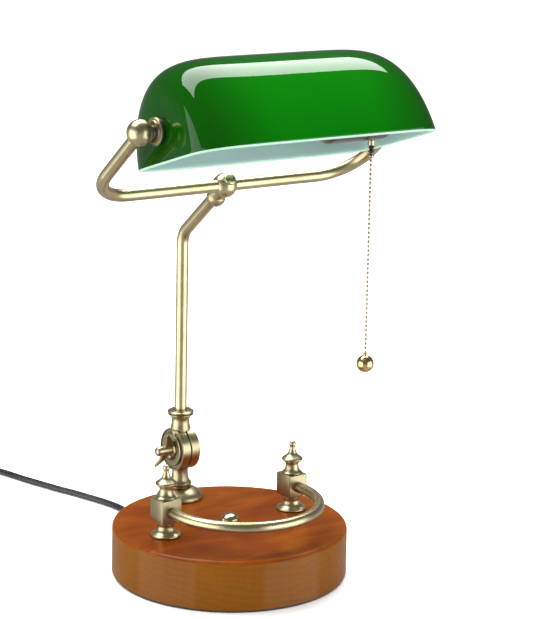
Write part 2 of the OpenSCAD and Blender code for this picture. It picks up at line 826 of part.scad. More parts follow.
module glass_shell() {
    row = glass_rows + 1;
    count = (glass_cols - 1) * row + 2;
    far = count - 1;
    outer = glass_skin(glass_x, shade_depth / 2, shade_h);
    inner = glass_skin(inner_face_x, shade_depth / 2 - glass_t, shade_h - glass_t);
    at = [for (i = [0:glass_cols - 2]) 1 + i * row];
    first = [for (k = [0:glass_rows - 1]) [0, at[0] + k + 1, at[0] + k]];
    lastf = [for (k = [0:glass_rows - 1]) [far, at[glass_cols - 2] + k, at[glass_cols - 2] + k + 1]];
    body = [for (i = [0:glass_cols - 3], k = [0:glass_rows - 1], half = [0, 1])
        half == 0 ? [at[i] + k, at[i] + k + 1, at[i + 1] + k + 1]
                  : [at[i] + k, at[i + 1] + k + 1, at[i + 1] + k]];
    skin = concat(first, body, lastf);
    inside = [for (f = skin) [f[2] + count, f[1] + count, f[0] + count]];
    front = concat([0], [for (i = [0:glass_cols - 2]) at[i]], [far]);
    back = concat([0], [for (i = [0:glass_cols - 2]) at[i] + glass_rows], [far]);
    lip = concat(
        [for (i = [0:glass_cols - 1]) [front[i], front[i + 1], front[i + 1] + count, front[i] + count]],
        [for (i = [0:glass_cols - 1]) [back[i + 1], back[i], back[i] + count, back[i + 1] + count]]);
    polyhedron(concat(outer, inner), concat(skin, inside, lip));
}

module shade_glass() {
    color(green_glass) at_pivot() difference() {
        rotate([-shade_lean, 0, 0]) translate([0, -pivot_back, -pivot_rise]) glass_shell();
        along_x(-glass_x - 5, glass_x + 5, glass_hole_r);
    }
}

// The space on the glass's side of a face that leans as the end of the shade does
module glass_side(x, towards) {
    size = 3 * pad_r;
    rotate([-shade_lean, 0, 0]) translate([x, 0, 0]) rotate([0, -atan(end_flare / pivot_rise), 0])
        translate([towards > 0 ? 0 : -size, -size / 2, -size / 2]) cube([size, size, size]);
}

module shade_bushes() {
    lean_room = 1.5;
    color(rubber) at_pivot() both_sides() difference() {
        union() {
            along_x(inner_face_x + 0.8, bush_x, glass_hole_r - 0.1);
            difference() {
                along_x(glass_x - lean_room, bush_x, pad_r);
                glass_side(glass_x + pad_clear, -1);
            }
        }
        along_x(inner_face_x, bush_x + over, nipple_r + running);
    }
}

module shade_washers() {
    lean_room = 1.5;
    color(rubber) at_pivot() both_sides() difference() {
        along_x(nut_x, inner_face_x + lean_room, pad_r);
        glass_side(inner_face_x - pad_clear, 1);
        along_x(nut_x - over, inner_face_x + lean_room + over, nipple_r + running);
    }
}

// ---- pull chain ----
module pull_rod() {
    stop_z = rod_top_z;
    color(black) translate([pull_x, pivot_y, 0]) {
        translate([0, 0, bell_z]) cylinder(h = stop_z - bell_z, r = rod_r);
        for (i = [0, 1]) translate([0, 0, bell_z + 1.4 + 2.9 * i])
            turned([[0, -1.4], [1.2, -1.4], [2.3, -0.5], [2.3, 0.5], [1.2, 1.4], [0, 1.4]]);
    }
}

module chain_bell() {
    color(brass) translate([pull_x, pivot_y, bell_z - bell_h]) turned(concat(
        [[0, 0.3], [1.2, 0.3], [1.2, 1]], out_then_up([1.5, 1.2], [2.4, 2.6], 4),
        [[2.3, 3.2], [0.8, 4.2], [0, 4.2]]));
}

module bead_chain() {
    r = bead_d / 2;
    length = bead_pitch * (bead_count - 1);
    color(brass) translate([pull_x, pivot_y, chain_z - r]) rotate_extrude() intersection() {
        union() {
            for (i = [0:bead_count - 1]) translate([0, -bead_pitch * i]) circle(r = r, $fn = 20);
            translate([0, -length]) square([0.35, length]);
        }
        translate([0, -length - 2]) square([2, length + 4]);
    }
}

chain_low_z = chain_z - bead_d - bead_pitch * (bead_count - 1);

module pull_ball() {
    r = pull_ball_d / 2;
    color(brass) translate([pull_x, pivot_y, chain_low_z - 0.2]) turned(concat(
        [[0, 0], [1.6, 0], [1.9, -0.8], [1.9, -1.6]],
        [for (i = [0:14]) let (t = 72 - 162 * i / 14) [r * cos(t), -1.2 - r + r * sin(t)]]));
}

felt_pad();
bottom_cover();
base_wood();
weight_disc();
tie_bolt();
tie_nut();
centre_cap_nut();
left_post_foot();
left_post_block();
left_finial();
right_post_foot();
right_post_block();
right_finial();
post_studs();
post_nuts();
guard_rail();
stem_flange();
stem_nipple();
stem_nut();
lower_knuckle();
knuckle_washer();
knuckle_bolt();
base_lead();
cord_gland();
power_cord();
cord_coil();
cord_tie();
cord_tail();
plug_body();
plug_pins();
wing_nut();
upper_knuckle();
stem_tube();
tee_ball();
tee_plug();
tee_lock_screw();
left_arm();
right_arm();
left_ball();
right_ball();
left_seat_ring();
right_seat_ring();
left_nipple();
right_nipple();
shade_nuts();
stem_lead();
holder_cap();
holder_shell();
switch_block();
holder_core();
screw_shell();
centre_contact();
switch_nozzle();
shade_glass();
shade_bushes();
shade_washers();
pull_rod();
chain_bell();
bead_chain();
pull_ball();
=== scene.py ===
"""Looks of a banker's desk lamp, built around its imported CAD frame.

Metres, +Z up. The origin is the centre of the base's underside, +X runs along the
shade towards the lampholder and +Y points to the back.
"""
import json
import math

import bmesh
import bpy
from bpy.props import FloatProperty, FloatVectorProperty, IntProperty, PointerProperty
from mathutils import Matrix, Vector

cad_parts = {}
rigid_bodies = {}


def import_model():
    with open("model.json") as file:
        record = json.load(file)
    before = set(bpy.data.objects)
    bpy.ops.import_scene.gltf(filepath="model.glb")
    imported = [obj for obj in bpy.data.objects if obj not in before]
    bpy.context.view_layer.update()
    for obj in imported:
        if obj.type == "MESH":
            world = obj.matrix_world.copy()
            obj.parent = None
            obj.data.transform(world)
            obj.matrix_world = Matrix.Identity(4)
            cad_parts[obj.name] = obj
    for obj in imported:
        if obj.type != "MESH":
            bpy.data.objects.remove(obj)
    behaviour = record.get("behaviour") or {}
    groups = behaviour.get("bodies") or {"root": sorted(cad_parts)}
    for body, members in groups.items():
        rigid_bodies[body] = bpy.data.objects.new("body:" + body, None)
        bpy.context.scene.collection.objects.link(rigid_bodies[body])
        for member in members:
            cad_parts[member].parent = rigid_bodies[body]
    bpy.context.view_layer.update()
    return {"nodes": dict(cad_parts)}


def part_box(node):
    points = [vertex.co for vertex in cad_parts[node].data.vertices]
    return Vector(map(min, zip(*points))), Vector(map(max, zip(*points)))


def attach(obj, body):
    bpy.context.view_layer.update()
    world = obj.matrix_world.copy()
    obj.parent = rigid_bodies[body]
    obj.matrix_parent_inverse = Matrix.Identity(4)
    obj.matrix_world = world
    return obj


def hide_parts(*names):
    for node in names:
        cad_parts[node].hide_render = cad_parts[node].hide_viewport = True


bl_info = {
    "name": "Banker's Desk Lamp",
    "version": (1, 0, 0),
    "blender": (4, 5, 0),
    "location": "3D View > Sidebar > Desk Lamp",
    "description": "Finishes and soft details of a banker's desk lamp",
    "category": "Object",
}

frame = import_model()
NODES = frame["nodes"]

MM = 0.001
TOP_OF_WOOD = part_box("base_wood")[1].z
PIVOT = Vector((0.0, -0.058719, 0.375905))  # middle of the shade's pivots, in metres
KNUCKLE = Vector((0, 74, 84.5))  # middle of the knuckle, in millimetres
WING_NUT_SEAT, POST_X = -7.5, 61.5


def middle(node):
    """Middle of a CAD node's box, in millimetres."""
    low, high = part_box(node)
    return (low + high) / 2 / MM


# ---- helpers for node materials ----
class Finish:
    """A node material in the making: its tree, its shader and short ways to add nodes."""

    def __init__(self, name, **sockets):
        self.material = bpy.data.materials.new(name)
        self.material.use_nodes = True
        self.tree = self.material.node_tree
        self.shader = self.tree.nodes["Principled BSDF"]
        self.set(**sockets)
        self._coords = None

    def set(self, **sockets):
        """Sets the shader's own sockets. An underscore stands for a space."""
        for key, value in sockets.items():
            self.plug(self.shader.inputs[key.replace("_", " ")], value)

    def plug(self, socket, value):
        if isinstance(value, bpy.types.NodeSocket):
            self.tree.links.new(value, socket)
        elif value is not None:
            if socket.type == "RGBA" and len(value) == 3:
                value = (*value, 1.0)
            socket.default_value = value

    def add(self, kind, *values, **settings):
        """Adds a node, fills its inputs in order and returns it. None leaves an input alone."""
        made = self.tree.nodes.new("ShaderNode" + kind)
        for key, value in settings.items():
            setattr(made, key, value)
        for socket, value in zip(made.inputs, values):
            self.plug(socket, value)
        return made

    def coords(self, scale=(1, 1, 1), turn=(0, 0, 0), shift=(0, 0, 0)):
        """The piece's own coordinates in metres, turned, shifted and scaled."""
        if self._coords is None:
            self._coords = self.add("TexCoord").outputs["Object"]
        return self.add("Mapping", self._coords, shift, turn, scale).outputs[0]

    def noise(self, where, scale=1.0, detail=3.0, rough=0.55, warp=0.0):
        """Soft random clouds, from 0 to 1."""
        made = self.add("TexNoise")
        for key, value in (("Vector", where), ("Scale", scale), ("Detail", detail),
                           ("Roughness", rough), ("Distortion", warp)):
            self.plug(made.inputs[key], value)
        return made.outputs["Fac"]

    def ramp(self, factor, *stops):
        """A colour ramp. Each stop is a place and a colour or a grey."""
        made = self.add("ValToRGB", factor)
        band = made.color_ramp
        while len(band.elements) < len(stops):
            band.elements.new(0.5)
        for element, (place, colour) in zip(band.elements, stops):
            element.position = place
            if isinstance(colour, (int, float)):
                colour = (colour, colour, colour)
            element.color = (*colour, 1.0)
        return made.outputs["Color"]

    def blend(self, factor, first, second):
        """The first colour where the factor is 0, the second where it is 1."""
        made = self.add("Mix", data_type="RGBA", blend_type="MIX")
        self.plug(made.inputs[0], factor)
        self.plug(made.inputs[6], first)
        self.plug(made.inputs[7], second)
        return made.outputs[2]

    def span(self, value, low, high, to_low=0.0, to_high=1.0, smooth=False):
        """Stretches a value from one range to another, and stops at its ends."""
        made = self.add("MapRange", value, low, high, to_low, to_high)
        if smooth:
            made.interpolation_type = "SMOOTHSTEP"
        return made.outputs[0]

    def sums(self, how, first, second=None):
        return self.add("Math", first, second, operation=how).outputs[0]

    def bump(self, height, strength, depth, normal=None):
        made = self.add("Bump")
        for key, value in (("Height", height), ("Strength", strength), ("Distance", depth),
                           ("Normal", normal)):
            self.plug(made.inputs[key], value)
        return made.outputs[0]

    def soft_edges(self, radius):
        """A normal that rounds sharp edges."""
        made = self.add("Bevel", radius)
        made.samples = 4
        return made.outputs[0]

    def nearby(self, reach):
        """How open the surface is: 1 in the open, lower in creases."""
        made = self.add("AmbientOcclusion")
        made.samples = 6
        made.inputs["Distance"].default_value = reach
        return made.outputs["AO"]


def paint(material, *names):
    """Gives CAD nodes their finish."""
    for name in names:
        slots = NODES[name].data.materials
        if not slots:
            slots.append(material)
        for i in range(len(slots)):
            slots[i] = material


def speckled_finish(name, scale, dark, light, strength=0.0, depth=0.0, **sockets):
    """A plain finish that wanders between two colours or greys, with its grain raised."""
    f = Finish(name, **sockets)
    grain = f.noise(f.coords(), scale, 3)
    f.set(Base_Color=f.ramp(grain, (0.3, dark), (0.7, light)))
    if strength:
        f.set(Normal=f.bump(grain, strength, depth))
    return f.material


def brass_finish(name, colours, streaks, tone=1.0, rough=0.24, painted_crease_shade=0.0, brush=0.12):
    """Brushed antique brass, with painted shade darkening its creases. Streaks are stretched along
    the axis with the small scale.
    """
    f = Finish(name, Metallic=1.0)
    bright = [c * tone for c in colours.brass]
    dull = [c * tone * 0.8 for c in colours.aged_brass]
    clouds = f.noise(f.coords((1, 1, 1)), 38, 4, 0.6, 0.4)
    lines = f.noise(f.coords(streaks), 1, 3, 0.6)
    colour = f.blend(f.span(clouds, 0.35, 0.75), bright, dull)
    colour = f.blend(f.span(lines, 0.3, 0.7, 0.0, 0.22), colour, [c * 0.72 for c in dull])
    # Painted shade: dark brown laid into creases and hollows where ambient occlusion finds them
    # closed in
    if painted_crease_shade:
        crease_shade_mask = f.span(f.nearby(0.0045), 0.25, 0.85, painted_crease_shade, 0.0, True)
        colour = f.blend(crease_shade_mask, colour, colours.painted_crease_shade)
    f.set(Base_Color=colour)
    f.set(Roughness=f.sums("ADD", f.span(lines, 0.3, 0.7, rough - 0.04, rough + 0.05),
                           f.span(clouds, 0.3, 0.7, 0.0, 0.05)))
    f.set(Normal=f.bump(lines, brush, 0.0002, f.soft_edges(0.0004)))
    return f.material


# ---- sizes, colours and studio settings ----
class LampSizes(bpy.types.PropertyGroup):
    """Sizes of the pieces that are made here."""

    glass_columns: IntProperty(
        name="Glass columns", description="Faces along the shade", default=150, min=24)
    glass_rows: IntProperty(
        name="Glass rows", description="Faces around the shade's arch", default=84, min=16)
    glass_wall: FloatProperty(
        name="Glass wall", description="Thickness of the shade's glass",
        default=0.003, unit="LENGTH")
    cord_thickness: FloatProperty(
        name="Cord thickness", description="Diameter of the mains cord",
        default=0.0054, unit="LENGTH")
    coil_step: FloatProperty(
        name="Coil step", description="Distance between two turns of the stored cord",
        default=0.0056, unit="LENGTH")


def colour_property(name, description, default):
    return FloatVectorProperty(name=name, description=description, default=default,
                               subtype="COLOR", size=3, min=0, max=1)


class LampColours(bpy.types.PropertyGroup):
    """Colours of the finishes."""

    wood_top: colour_property("Wood top", "Stain on top of the base", (0.195, 0.040, 0.0005))
    wood_side: colour_property("Wood side", "Stain around the base", (0.165, 0.054, 0.0008))
    wood_dark: colour_property("Wood streaks", "Dark streaks of the grain", (0.125, 0.022, 0.0006))
    wood_glow: colour_property("Wood glow", "Warm pools on top", (0.25, 0.066, 0.0009))
    wood_vein: colour_property("Wood veins", "Upright streaks of the side", (0.118, 0.034, 0.0006))
    wood_ring: colour_property("Wood rings", "Rings seen on the side", (0.112, 0.030, 0.0006))
    wood_honey: colour_property("Wood honey", "Light pools of the side", (0.20, 0.072, 0.0012))
    wood_pore: colour_property("Wood pores", "Fine dark fibres", (0.05, 0.012, 0.001))
    brass: colour_property("Brass", "Brushed brass", (0.64, 0.565, 0.345))
    aged_brass: colour_property("Aged brass", "Duller clouds in the brass", (0.58, 0.485, 0.275))
    # Painted shade: the dark brown that the brass finishes lay into their creases
    painted_crease_shade: colour_property("Painted_crease_shade", "Dark brown in the brass's creases", (0.045, 0.026, 0.013))
    glass: colour_property("Glass", "Outer layer of the shade", (0.0, 0.135, 0.0))
    glass_deep: colour_property("Deep glass", "Glass seen at a slant", (0.0, 0.035, 0.0))
    # Painted shade: the green darkens towards the shade's rim, low on the glass
    painted_shade_low_glass: colour_property("Low glass", "Glass near the rim", (0.0, 0.03, 0.0))
    # Painted shade: the green darkens towards both ends of the shade
    painted_shade_end_glass: colour_property("End glass", "Glass towards the ends", (0.002, 0.02, 0.0))
    # Partly painted shade: the pale opal lining is given the darker grey-green it shows inside the
    # shade, where little light falls
    opal: colour_property("Opal lining", "Inner layer of the shade", (0.30, 0.44, 0.41))
    bakelite: colour_property("Bakelite", "Lampholder", (0.018, 0.012, 0.010))
    cord: colour_property("Cord", "Mains cord and plug", (0.010, 0.010, 0.012))
    felt: colour_property("Felt", "Pad under the base", (0.012, 0.018, 0.012))


class StudioSettings(bpy.types.PropertyGroup):
    """Floor, light and camera."""

    floor_width: FloatProperty(
        name="Floor width", description="Side of the square floor", default=14.0, unit="LENGTH")
    fill: FloatProperty(
        name="Fill", description="Even light from all around", default=1.2, min=0)
    backdrop: FloatProperty(
        name="Backdrop", description="Brightness of the backdrop", default=1.15, min=0)
    focal_length: FloatProperty(
        name="Focal length", description="Lens of the camera in millimetres",
        default=122.81, min=1)


# ---- studio ----
CAMERA_AT = (-0.9292, -1.3400, 0.6029)
CAMERA_ACROSS = Vector((0.81254, -0.58258, 0.01959))
CAMERA_UP = Vector((0.09880, 0.17077, 0.98034))
CAMERA_BACK = Vector((-0.57448, -0.79463, 0.19632))
CAMERA_SHIFT = -0.1161
# Grey of the room in reflections: height, from 0 straight down to 1 straight up, and grey
ROOM_GREYS = ((0.40, 0.55), (0.5, 0.34), (0.62, 0.15))


def light_panel(name, place, aim, width, height, brightness):
    """A soft box that shows in reflections but not to the camera."""
    light = bpy.data.lights.new(name, "AREA")
    light.shape = "RECTANGLE"
    light.size, light.size_y = width, height
    light.energy = brightness * math.pi * width * height
    lamp = bpy.data.objects.new(name, light)
    lamp.location = place
    lamp.rotation_euler = (Vector(aim) - Vector(place)).to_track_quat("-Z", "Y").to_euler()
    lamp.visible_camera = False
    bpy.context.scene.collection.objects.link(lamp)
    return lamp


def studio_world(settings):
    """A white backdrop to look at, an even fill, and a darker room in reflections."""
    world = bpy.data.worlds.new("studio")
    bpy.context.scene.world = world
    world.cycles.sampling_method = "NONE"
    world.use_nodes = True
    tree = world.node_tree
    tree.nodes.clear()
    out = tree.nodes.new("ShaderNodeOutputWorld")
    kind = tree.nodes.new("ShaderNodeLightPath")
    place = tree.nodes.new("ShaderNodeTexCoord")
    split = tree.nodes.new("ShaderNodeSeparateXYZ")
    tree.links.new(place.outputs["Generated"], split.inputs[0])
    room = tree.nodes.new("ShaderNodeValToRGB")
    room.color_ramp.elements.new(0.5)
    for i, (at, grey) in enumerate(ROOM_GREYS):
        room.color_ramp.elements[i].position = at
        room.color_ramp.elements[i].color = (grey, grey, grey, 1)
    height = tree.nodes.new("ShaderNodeMapRange")
    height.inputs["From Min"].default_value = -1.0
    tree.links.new(split.outputs["Z"], height.inputs["Value"])
    tree.links.new(height.outputs[0], room.inputs[0])

    def shade(colour, strength):
        made = tree.nodes.new("ShaderNodeBackground")
        if isinstance(colour, bpy.types.NodeSocket):
            tree.links.new(colour, made.inputs[0])
        else:
            made.inputs[0].default_value = (*colour, 1)
        made.inputs[1].default_value = strength
        return made.outputs[0]

    def choose(factor, first, second):
        made = tree.nodes.new("ShaderNodeMixShader")
        tree.links.new(factor, made.inputs[0])
        tree.links.new(first, made.inputs[1])
        tree.links.new(second, made.inputs[2])
        return made.outputs[0]

    fill = shade((1, 1, 1), settings.fill)
    mirrored = choose(kind.outputs["Is Glossy Ray"], fill, shade(room.outputs[0], 1.0))
    seen = choose(kind.outputs["Is Camera Ray"], mirrored, shade((1, 1, 1), settings.backdrop))
    tree.links.new(seen, out.inputs[0])


class LAMP_OT_stage(bpy.types.Operator):
    """Build the floor, the soft light and the camera"""

    bl_idname = "lamp.stage"
    bl_label = "Studio"

    def execute(self, context):
        settings = context.scene.lamp_studio
        scene = context.scene
        scene.view_settings.view_transform = "Standard"
        half = settings.floor_width / 2
        mesh = bpy.data.meshes.new("studio_floor")
        mesh.from_pydata([(-half, -half, 0), (half, -half, 0), (half, half, 0), (-half, half, 0)],
                         [], [(0, 1, 2, 3)])
        floor = bpy.data.objects.new("studio_floor", mesh)
        scene.collection.objects.link(floor)
        paper = Finish("studio_paper", Roughness=0.9, Specular_IOR_Level=0.0)
        grain = paper.noise(paper.coords(), 60, 3)
        paper.set(Base_Color=paper.ramp(grain, (0.0, 0.89), (1.0, 0.91)))
        mesh.materials.append(paper.material)
        floor.visible_glossy = False
        studio_world(settings)

        light_panel("panel_left", (-1.75, 0.25, 0.0), (0, 0, 0),
                    width=2.2, height=2.0, brightness=2.1)
        light_panel("panel_right", (0.95, -1.65, 0.0), (0, 0, 0),
                    width=2.2, height=2.0, brightness=2.4)
        light_panel("panel_top", (0.21, 0.71, 1.8), (0.21, 0.71, 0),
                    width=2.6, height=0.95, brightness=8.5)

        lens = bpy.data.cameras.new("camera")
        lens.sensor_fit = "AUTO"
        lens.sensor_width = 36
        lens.lens = settings.focal_length
        lens.shift_y = CAMERA_SHIFT
        lens.clip_start, lens.clip_end = 0.05, 60
        camera = bpy.data.objects.new("camera", lens)
        turned = Matrix((CAMERA_ACROSS, CAMERA_UP, CAMERA_BACK)).transposed().to_4x4()
        camera.matrix_world = Matrix.Translation(CAMERA_AT) @ turned
        scene.collection.objects.link(camera)
        scene.camera = camera
        return {"FINISHED"}


# ---- cord ----
# The cord's line in millimetres, out of the base to the coil
CORD_ROUTE = [
    (0, 90, 13.5), (0, 99, 13.5), (0, 108, 13.5), (0, 120, 13.2), (0, 132, 11), (1, 144, 7.5),
    (2, 156, 4.4), (3, 167, 3), (3, 179, 2.8), (1, 192, 2.8), (-2, 205, 2.8), (-6, 219, 2.8),
    (-10, 233, 2.8), (-15, 247, 2.8), (-19, 261, 2.8), (-23, 275, 2.8), (-27, 289, 2.8),
    (-30, 302, 2.8), (-33, 315, 2.8), (-37, 328, 3), (-40, 340, 3.6), (-41.8, 350, 4.0)]
# From the top of the coil to the plug
CORD_END = [
    (-82, 402, 19), (-92, 403, 16.5), (-102, 400.5, 13.5), (-111, 395, 10.8),
    (-118.5, 387.5, 8.8), (-124, 378, 7.6), (-127, 367.5, 7.1), (-128, 357, 7), (-128, 347, 7)]
COIL_CENTRE = (-74, 362)
COIL_RADIUS, COIL_HEIGHT = 32.2, 4.1
# Place of each turn in the coil's section: steps inwards and steps up, in winding order
COIL_PLACES = [(0, 0), (1, 0), (1, 1), (0, 1), (0, 2), (1, 2), (1, 3), (0, 3)]
# In degrees: where the first change of place is halfway, how much earlier each later one
# comes, how far a change reaches, and how far the cord follows its last turn
CHANGE_AT, CHANGE_LAG, CHANGE_REACH, LAST_REACH = 322.0, 16.0, 52.0, 50
# Where the cord leaves its last turn: radius, angle and how much lower
LEAVE_RADIUS, LEAVE_ANGLE, LEAVE_DROP = 35.0, 75, 0.3
KNOTS_PER_TURN = 20


def ease(t):
    """Goes from 0 to 1 with a soft start and end."""
    t = max(0.0, min(1.0, t))
    return t * t * (3 - 2 * t)


def on_coil(radius, angle, height):
    turn = math.radians(angle)
    return (COIL_CENTRE[0] + radius * math.cos(turn),
            COIL_CENTRE[1] + radius * math.sin(turn), height)


def coil_points(step):
    """Turns of the stored cord in millimetres: out, in, up and back again in four layers."""
    points = []
    last = (len(COIL_PLACES) - 1) * 360 + LAST_REACH
    for n in range(1, int(last / 360 * KNOTS_PER_TURN) + 1):
        angle = 360 * n / KNOTS_PER_TURN
        inwards, up = COIL_PLACES[0]
        for k, (old, new) in enumerate(zip(COIL_PLACES, COIL_PLACES[1:])):
            halfway = 360 * k + CHANGE_AT - CHANGE_LAG * k
            share = ease((angle - halfway) / CHANGE_REACH + 0.5)
            inwards += share * (new[0] - old[0])
            up += share * (new[1] - old[1])
        points.append(on_coil(COIL_RADIUS - step * inwards, angle, COIL_HEIGHT + step * up))
    top = COIL_HEIGHT + step * COIL_PLACES[-1][1]
    points.append(on_coil(LEAVE_RADIUS, LEAVE_ANGLE, top - LEAVE_DROP))
    return points


def smooth_curve(name, points, thickness):
    """One open spline through the points, as thick as the cord."""
    curve = bpy.data.curves.new(name, "CURVE")
    curve.dimensions = "3D"
    curve.bevel_depth = thickness / 2
    curve.bevel_resolution = 4
    curve.resolution_u = 5
    curve.use_fill_caps = True
    spline = curve.splines.new("BEZIER")
    spline.bezier_points.add(len(points) - 1)
    for knot, place in zip(spline.bezier_points, points):
        knot.co = Vector(place) * MM
        knot.handle_left_type = knot.handle_right_type = "AUTO"
    piece = bpy.data.objects.new(name, curve)
    bpy.context.scene.collection.objects.link(piece)
    return piece


def cord_finish(colours):
    f = Finish("cord_pvc", Roughness=0.3, Specular_IOR_Level=0.6)
    clouds = f.noise(f.coords(), 300, 3)
    fine = f.noise(f.coords(), 2400, 2)
    f.set(Base_Color=f.blend(f.span(clouds, 0.3, 0.7), colours.cord,
                             [c * 1.8 + 0.004 for c in colours.cord]))
    f.set(Roughness=f.span(clouds, 0.3, 0.7, 0.24, 0.36))
    f.set(Normal=f.bump(fine, 0.12, 0.0002))
    return f.material


class LAMP_OT_cord(bpy.types.Operator):
    """Lay the mains cord out of the base, wind its spare length and finish its plug"""

    bl_idname = "lamp.cord"
    bl_label = "Mains cord"

    def execute(self, context):
        sizes, colours = context.scene.lamp_sizes, context.scene.lamp_colours
        points = CORD_ROUTE + coil_points(sizes.coil_step / MM) + CORD_END
        flex = smooth_curve("mains_flex", points, sizes.cord_thickness)
        black = cord_finish(colours)
        flex.data.materials.append(black)
        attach(flex, "base")
        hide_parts("power_cord", "cord_coil", "cord_tail")
        paint(black, "plug_body", "base_lead", "stem_lead")

        strap = Finish("tie_strap", Roughness=0.8)
        weave = strap.noise(strap.coords((900, 900, 900)), 1, 2)
        strap.set(Base_Color=strap.ramp(weave, (0.3, 0.008), (0.7, 0.03)))
        strap.set(Normal=strap.bump(weave, 0.5, 0.0004))
        paint(strap.material, "cord_tie")

        paint(speckled_finish("gland_rubber", 700, 0.010, 0.022, strength=0.15, depth=0.0003,
                              Roughness=0.5), "cord_gland")

        pins = Finish("nickel_pins", Metallic=1.0)
        scratches = pins.noise(pins.coords((400, 60, 400)), 1, 3)
        pins.set(Base_Color=pins.ramp(scratches, (0.3, 0.50), (0.7, 0.62)))
        pins.set(Roughness=pins.span(scratches, 0.3, 0.7, 0.18, 0.32))
        paint(pins.material, "plug_pins")
        return {"FINISHED"}


# ---- base ----
def wood_finish(colours):
    """Stained wood under lacquer: streaks along the top, upright veins and rings on the side."""
    f = Finish("lacquered_wood", Roughness=0.4, Coat_Weight=0.3, Coat_Roughness=0.2,
               Coat_IOR=1.45, Specular_IOR_Level=0.02)
    grain_turn = (0, 0, 0.12)
    figure = f.noise(f.coords((9, 42, 60), grain_turn), 1, 5, 0.6, 1.1)
    fibre = f.noise(f.coords((60, 900, 900), grain_turn), 1, 3, 0.65)
    upright = f.noise(f.coords((260, 260, 14)), 1, 3, 0.6)
    pools = f.noise(f.coords(), 17, 3, 0.5, 0.8)
    rings = f.add("TexWave", wave_type="RINGS", rings_direction="X", wave_profile="SIN")
    f.plug(rings.inputs["Vector"], f.coords((1, 1, 1.6), (0, 0, 0.1), (0, 0.02, 0.09)))
    for key, value in (("Scale", 42.0), ("Distortion", 6.0), ("Detail", 3.0),
                       ("Detail Scale", 1.2), ("Detail Roughness", 0.6)):
        rings.inputs[key].default_value = value

    top = f.blend(f.span(figure, 0.35, 0.68, smooth=True), colours.wood_dark, colours.wood_top)
    top = f.blend(f.span(pools, 0.4, 0.7, 0, 0.5), top, colours.wood_glow)
    side = f.blend(f.span(upright, 0.3, 0.7, 0, 0.35), colours.wood_side, colours.wood_vein)
    side = f.blend(f.sums("MULTIPLY", rings.outputs["Fac"], 0.3), side, colours.wood_ring)
    side = f.blend(f.span(pools, 0.35, 0.7, 0, 0.45), side, colours.wood_honey)
    height = f.add("SeparateXYZ", f.coords()).outputs["Z"]
    side_ends, top_starts = TOP_OF_WOOD - 0.0031, TOP_OF_WOOD - 0.0016
    colour = f.blend(f.span(height, side_ends, top_starts, smooth=True), side, top)
    colour = f.blend(f.span(fibre, 0.3, 0.7, 0.0, 0.16), colour, colours.wood_pore)
    f.set(Base_Color=colour)
    f.set(Roughness=f.span(fibre, 0.3, 0.7, 0.30, 0.42))
    f.set(Coat_Roughness=f.span(pools, 0.3, 0.7, 0.17, 0.25))
    f.set(Normal=f.bump(fibre, 0.05, 0.0002))
    wave = f.noise(f.coords(), 30, 2)
    f.set(Coat_Normal=f.bump(wave, 0.05, 0.0006))
    return f.material


class LAMP_OT_base(bpy.types.Operator):
    """Finish the wooden base, its weight, cover, felt and the steel that holds it together"""

    bl_idname = "lamp.base"
    bl_label = "Base"

    def execute(self, context):
        colours = context.scene.lamp_colours
        paint(wood_finish(colours), "base_wood")

        felt = Finish("green_felt", Roughness=0.95, Sheen_Weight=0.4)
        fuzz = felt.noise(felt.coords(), 1800, 4, 0.7)
        felt.set(Base_Color=felt.blend(fuzz, colours.felt, [c * 2.4 for c in colours.felt]))
        felt.set(Normal=felt.bump(fuzz, 0.6, 0.0006))
        paint(felt.material, "felt_pad")

        iron = Finish("cast_iron", Metallic=1.0)
        grit = iron.noise(iron.coords(), 500, 4, 0.65)
        iron.set(Base_Color=iron.ramp(grit, (0.3, (0.06, 0.055, 0.05)), (0.7, (0.14, 0.13, 0.12))))
        iron.set(Roughness=iron.span(grit, 0.3, 0.7, 0.5, 0.7))
        iron.set(Normal=iron.bump(grit, 0.5, 0.0006))
        paint(iron.material, "weight_disc")

        steel = Finish("zinc_steel", Metallic=1.0)
        spangle = steel.add("TexVoronoi", steel.coords(), feature="F1")
        spangle.inputs["Scale"].default_value = 260
        steel.set(Base_Color=steel.ramp(spangle.outputs["Distance"], (0.0, 0.46), (0.8, 0.60)))
        steel.set(Roughness=steel.span(spangle.outputs["Distance"], 0, 0.8, 0.28, 0.42))
        paint(steel.material, "bottom_cover", "tie_bolt", "tie_nut", "stem_nut", "stem_nipple",
              "post_studs", "post_nuts", "left_nipple", "right_nipple", "knuckle_bolt")
        return {"FINISHED"}


class LAMP_OT_brass(bpy.types.Operator):
    """Finish the brass of the pen rail, the stem, the cradle and the base's middle nut"""

    bl_idname = "lamp.brass"
    bl_label = "Brass work"

    def execute(self, context):
        colours = context.scene.lamp_colours
        cap = brass_finish("turned_brass", colours, (30, 30, 1600), rough=0.17, painted_crease_shade=0.9)
        paint(cap, "centre_cap_nut")
        drawn = brass_finish("drawn_tube", colours, (1100, 1100, 12), tone=1.04, rough=0.27)
        paint(drawn, "stem_tube")
        rolled = brass_finish("bent_tube", colours, (40, 900, 900), tone=1.04, rough=0.27)
        paint(rolled, "left_arm", "right_arm", "guard_rail")
        washer = brass_finish("knuckle_brass", colours, (1400, 60, 60), tone=0.86, rough=0.22,
                              painted_crease_shade=0.95, brush=0.2)
        paint(washer, "knuckle_washer")
        balls = brass_finish("ball_brass", colours, (500, 500, 500), tone=0.98, rough=0.29,
                             painted_crease_shade=0.6)
        paint(balls, "tee_ball", "tee_plug", "left_ball", "right_ball")
        rings = brass_finish("copper_brass", colours, (1200, 60, 60), tone=0.8, rough=0.3,
                             painted_crease_shade=0.7)
        paint(rings, "left_seat_ring", "right_seat_ring", "shade_nuts")
        return {"FINISHED"}


# ---- turned brass ----
# Millimetres: shorter steps of an outline are left out, and points nearer to the axis lie on it
SHORTEST_STEP, NEAR_AXIS = 0.02, 0.03
STEPS_PER_POINT = 6


